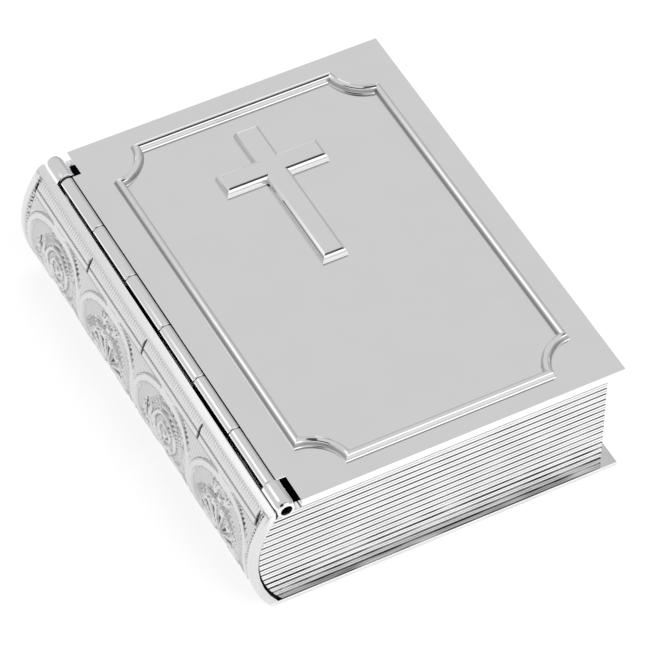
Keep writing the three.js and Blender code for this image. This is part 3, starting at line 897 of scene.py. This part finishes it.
def spine_heights(along, up):
    """Depths of the whole skin below the plain rims, how much painted shade darkens it below the light top
    rim and on its recessed ground, and how much near-black painted shade lies in its hollows and cuts.
    """
    carve = Carving(along, up)
    y, v = along[:, None], up[None, :] + 0 * along[:, None]
    from_top = up[-1] - v
    from_end = along[-1] - abs(y)
    half_along = (along[-1] - END_BORDER) / PANELS
    half_up = (up[-1] - TOP_BORDER - FOOT_BORDER) / 2
    frames = np.zeros_like(v)
    inside = np.zeros_like(v)
    for i, carve.centre in enumerate(panel_centres(half_along, half_up)):
        (scroll_motif if i % 2 else shell_motif)(carve)
        share, height = panel_frame(y - carve.centre[0], v - carve.centre[1], half_along, half_up)
        inside = np.maximum(inside, share)
        frames = np.maximum(frames, height)
    hatch = 0.09 + 0.08 * waves(y * 0.25 + v, REED_PITCH)
    comb = 0.12 + 0.12 * waves(y, REED_PITCH)
    ground = hatch * inside + comb * (1 - inside)
    below_strip = ramp(from_top, TOP_BORDER - 0.7, TOP_BORDER - 0.5)
    field = np.maximum.reduce([ground, carve.height * inside, frames]) * below_strip
    field = np.maximum.reduce([field, top_strip(y, from_top), ridge(v - FOOT_LINE, 0.3, 0.5)])
    rope = dome(np.hypot(from_end - 1.95, from_nearest(v, ROPE_PITCH)), 0.42, 0.5)
    field = np.where(from_end < END_BORDER, rope, field)
    hollow = blurred(field, HOLLOW_CELLS) - field
    cuts = Carving(along, up)
    dark_cuts(cuts, half_along, half_up)
    field = np.clip(field - CUT_DEPTH * cuts.height, 0, None)
    for distance, width in ((from_top, TOP_RIM), (v, FOOT_RIM), (from_end, END_RIM)):
        field = np.maximum(field, CARVING_DEPTH * (1 - ramp(distance, width, width + RIM_STEP)))
    beyond = 1 - np.clip(np.minimum(v, from_end) / EDGE_ROUNDING, 0, 1)
    rounding = EDGE_ROUNDING * (1 - np.sqrt(1 - beyond ** 2))
    rounding = np.maximum(rounding, TOP_RIM_SLOPE * np.clip(TOP_RIM - from_top, 0, None))
    # Painted shade: darker below the top rim, which stays light as a painted highlight, and darker on the
    # recessed ground
    dull = 0.5 * ramp(from_top, TOP_RIM - 0.1, TOP_RIM) + 0.3 * (1 - field / CARVING_DEPTH)
    # Painted shade in the carving's hollows, where it lies deeper than what stands round it, and in the
    # cuts
    corners = np.clip(hollow * HOLLOW_DARKNESS - HOLLOW_START, 0, 1) * inside
    painted_shade = np.maximum(corners, np.clip(cuts.height * CUT_DARKNESS, 0, 1))
    return field - CARVING_DEPTH - rounding, dull, painted_shade


def edge_dense(length):
    """Places from 0 to length, closer together near both ends."""
    count = round((length - 2 * EDGE_ROUNDING) / CELL)
    soft = EDGE_ROUNDING * (1 - np.cos(np.linspace(0, math.pi / 2, EDGE_STEPS + 1)[:-1]))
    middle = np.linspace(EDGE_ROUNDING, length - EDGE_ROUNDING, count + 1)
    return np.concatenate((soft, middle, (length - soft)[::-1]))


def ornamented_spine():
    """A grid round the spine's section, carved where it faces out."""
    foot_angle = arc_angle(spine_radius, base_high.z)
    up = edge_dense((arc_angle(spine_radius, spine_high.z) - foot_angle) * spine_radius / MM)
    along = edge_dense(LENGTH / MM) - LENGTH / MM / 2
    heights, dull, painted_shade = spine_heights(along, up)
    hollow = spine_radius - SPINE_THICKNESS
    slot_x = AXIS.x - BARREL_RADIUS - SPINE_SLOT_TAIL
    hollow_top = math.acos((spine_centre.x - slot_x) / hollow)
    back = [on_arc(hollow, angle) for angle in
            np.linspace(hollow_top, arc_angle(hollow, base_high.z), BACK_STEPS)]
    back.insert(0, (slot_x, spine_high.z - SLOT_EDGE_DROP))

    def place(i, j):
        if i < len(up):
            x, z = on_arc(spine_radius + heights[j, i] * MM, foot_angle + up[i] * MM / spine_radius)
            return x, along[j] * MM, z, dull[j, i], painted_shade[j, i]
        x, z = back[i - len(up)]
        if i < len(up) + 2:
            x += (SPINE_SLOT_TAIL - SPINE_SLOT_HEAD) * j / (len(along) - 1)
        # Painted shade on the spine's hollow back: darker through the ground mark all along, and near-black
        # except at its two ends
        inner = HOLLOW_BACK_SHADE if i > len(up) else 0
        return x, along[j] * MM, z, inner, inner if 0 < j < len(along) - 1 else 0

    shape = bmesh.new()
    for loop in tube_grid(shape, len(up) + len(back), len(along) - 1, place, ["ground", "painted_shade"]):
        bmesh.ops.contextual_create(shape, geom=loop)
    made("ornamented_spine", shape, relief, "box", "spine_cover", crisp=False)


# Base and inner walls

def base_plate():
    """A plate whose edge at the spine follows the spine's curve, in the darker copy of the silver plate
    that paints shade.
    """
    shape = bmesh.new()
    block(shape, base_low, base_high, BASE_EDGE)
    for v in shape.verts:
        if v.co.x < base_low.x + 2 * BASE_EDGE:
            v.co.x += on_arc(spine_radius, arc_angle(spine_radius, v.co.z))[0] - base_low.x
    made("base_plate", shape, shaded_flange_silver, "box", "base_cover")


def back_wall():
    shape = bmesh.new()
    low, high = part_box("spine_inner_wall")
    block(shape, low, high, LEAF_EDGE)
    made("back_wall", shape, plate, "box", "spine_inner_wall")


# Linings

def pad(name, node, body, facing, crown, edge):
    """A velvet pad: flat where it is glued down, crowned on the other side, with soft drawn-in edges."""
    low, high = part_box(node)
    size = high - low
    axis = max(range(3), key=lambda k: abs(facing[k]))
    across = [k for k in range(3) if k != axis]
    shape = bmesh.new()
    counts = [max(FEWEST_CELLS, min(MOST_CELLS, round(size[k] / PAD_CELL))) for k in across]
    face = bmesh.ops.create_grid(shape, x_segments=counts[0], y_segments=counts[1], size=0.5)["verts"]
    for v in face:
        shares = (v.co.x + 0.5, v.co.y + 0.5)
        v.co = Vector()
        for k, share in zip(across, shares):
            v.co[k] = low[k] + size[k] * share
        v.co[axis] = high[axis] if facing[axis] > 0 else low[axis]
    rim = [e for e in shape.edges if e.is_boundary]
    grown = bmesh.ops.extrude_edge_only(shape, edges=rim)["geom"]
    for v in [g for g in grown if isinstance(g, bmesh.types.BMVert)]:
        v.co[axis] = low[axis] if facing[axis] > 0 else high[axis]
    bmesh.ops.contextual_create(shape, geom=[e for e in grown if isinstance(e, bmesh.types.BMEdge)])
    glued = low[axis] if facing[axis] > 0 else high[axis]
    for v in shape.verts:
        nearest = min(min(v.co[k] - low[k], high[k] - v.co[k]) for k in across)
        if abs(v.co[axis] - glued) < size[axis] / 2:
            continue
        fall = 1 - min(1, nearest / edge)
        wave = noise.noise(v.co / LONG_WAVE) * 0.5 + noise.noise(v.co / SHORT_WAVE) * 0.2
        sink = crown * fall ** 2 + crown * 0.25 * (wave + 0.6)
        v.co[axis] -= math.copysign(min(sink, DEEPEST_SINK_SHARE * size[axis]), facing[axis])
    made(name, shape, blue_velvet, body, node, crisp=False)


def linings():
    pad("floor_pad", "floor_velvet", "box", (0, 0, 1), FLOOR_CROWN, BOARD_PAD_EDGE)
    pad("lid_pad", "lid_velvet", "lid", (0, 0, -1), LID_CROWN, BOARD_PAD_EDGE)
    for word, x, y in (("fore", -1, 0), ("spine", 1, 0), ("tail", 0, 1), ("head", 0, -1)):
        pad(f"{word}_pad", f"{word}_lining", "box", (x, y, 0), WALL_CROWN, WALL_PAD_EDGE)


def underside_felt():
    low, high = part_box("base_felt")
    shape = bmesh.new()
    block(shape, low, high, FELT_EDGE)
    made("underside_felt", shape, felt, "box", "base_felt")


def carried_over():
    """The pin and the two boards keep their own meshes and get a finish."""
    for node, finish, slot in (("hinge_pin", steel, "pin_steel"), ("floor_card", card, "lining_card"),
                               ("lid_card", card, "lining_card")):
        obj = frame["nodes"][node]
        obj.data.materials.clear()
        obj.data.materials.append(finish)


# Studio

FLOOR_SIDE = 6.0
FLOOR_DROP = 0.02 * MM
FLOOR_TONE_SIZE = 120 * MM
FLOOR_GLOW = 0.62
FLOOR_GREYS = ((0.61, 0.61, 0.61), (0.63, 0.63, 0.63))
ROOM_LEVEL = 0.64

# Directions from the box to what stands in the room
WHITE_BOX = (0.316, -0.75, 0.58)
BACK_LAMP = (-0.44, 0.57, 0.69)
DARK_PATCH = (-0.5, -0.42, 0.76)

# A lamp's name, place, side in metres and power in watts
LAMPS = (
    ("overhead", Vector((0.1, -0.1, 1.3)), 2.0, 3),
    ("front", Vector((0.3, -0.9, 0.8)), 0.8, 0.6),
)


def studio_floor():
    shape = bmesh.new()
    bmesh.ops.create_grid(shape, x_segments=1, y_segments=1, size=FLOOR_SIDE / 2)
    mesh = bpy.data.meshes.new("studio_floor")
    shape.to_mesh(mesh)
    shape.free()
    floor = bpy.data.objects.new("studio_floor", mesh)
    floor.location.z = -FLOOR_DROP
    finish = Finish("studio_white", Roughness=0.9, Emission_Color=(1, 1, 1, 1),
                    Emission_Strength=FLOOR_GLOW)
    colour = finish.blend(finish.grain(FLOOR_TONE_SIZE), *FLOOR_GREYS)
    mesh.materials.append(finish.feed(Base_Color=colour))
    bpy.context.scene.collection.objects.link(floor)


def soft_lamps():
    """Broad lamps for the cloth and the floor, which the polished metal doesn't mirror."""
    for name, place, side, power in LAMPS:
        data = bpy.data.lights.new(name, "AREA")
        data.size = side
        data.energy = power
        lamp = bpy.data.objects.new(name, data)
        lamp.location = place
        lamp.rotation_mode = "QUATERNION"
        lamp.rotation_quaternion = (-place).to_track_quat("-Z", "Y")
        lamp.visible_glossy = False
        bpy.context.scene.collection.objects.link(lamp)


def studio_world():
    """A grey room, lighter near the camera and duller low on the right, with a white box on the camera's
    side, a dark gap above it, a small lamp at the back left and a dark patch at the front left."""
    world = bpy.data.worlds.new("studio")
    bpy.context.scene.world = world
    world.use_nodes = True
    sky = Paint(world.node_tree)
    direction = sky.node("ShaderNodeTexCoord", output="Generated")

    def towards(middle, inner, outer):
        """1 within inner degrees of a direction and 0 beyond outer degrees."""
        inputs = {0: direction, 1: Vector(middle).normalized()}
        nearness = sky.node("ShaderNodeVectorMath", {"operation": "DOT_PRODUCT"}, inputs, "Value")
        return nearness.rising(math.cos(math.radians(outer)), math.cos(math.radians(inner)))

    right, far, height = (sky.node("ShaderNodeSeparateXYZ", None, {0: direction}, axis) for axis in "XYZ")
    horizon = 0.3 * far.rising(-0.35, -0.6) - 0.16 * right.rising(0, 0.3)
    level = ROOM_LEVEL + horizon * height.rising(0.6, 0.4)
    level = level + (1.5 - level) * towards(WHITE_BOX, 16, 26)
    level = level + (1.1 - level) * towards(BACK_LAMP, 6, 15) * far.rising(0.61, 0.585)
    gap = far.rising(-0.26, -0.235) * far.rising(-0.13, -0.16) * height.rising(0.8, 0.86)
    level = level * (1 - 0.9 * gap)
    level = level * (1 - 0.95 * towards(DARK_PATCH, 16, 26))
    background = world.node_tree.nodes["Background"]
    world.node_tree.links.new(level.socket, background.inputs["Strength"])
    background.inputs["Color"].default_value = (1, 1, 1, 1)


polished_lid()
raised_cross()
hinge_leaves()
hinge_boss(-1)
hinge_boss(1)
page_walls()
ornamented_spine()
base_plate()
back_wall()
linings()
underside_felt()
carried_over()
studio_floor()
soft_lamps()
studio_world()
bpy.context.scene.view_settings.view_transform = "Standard"
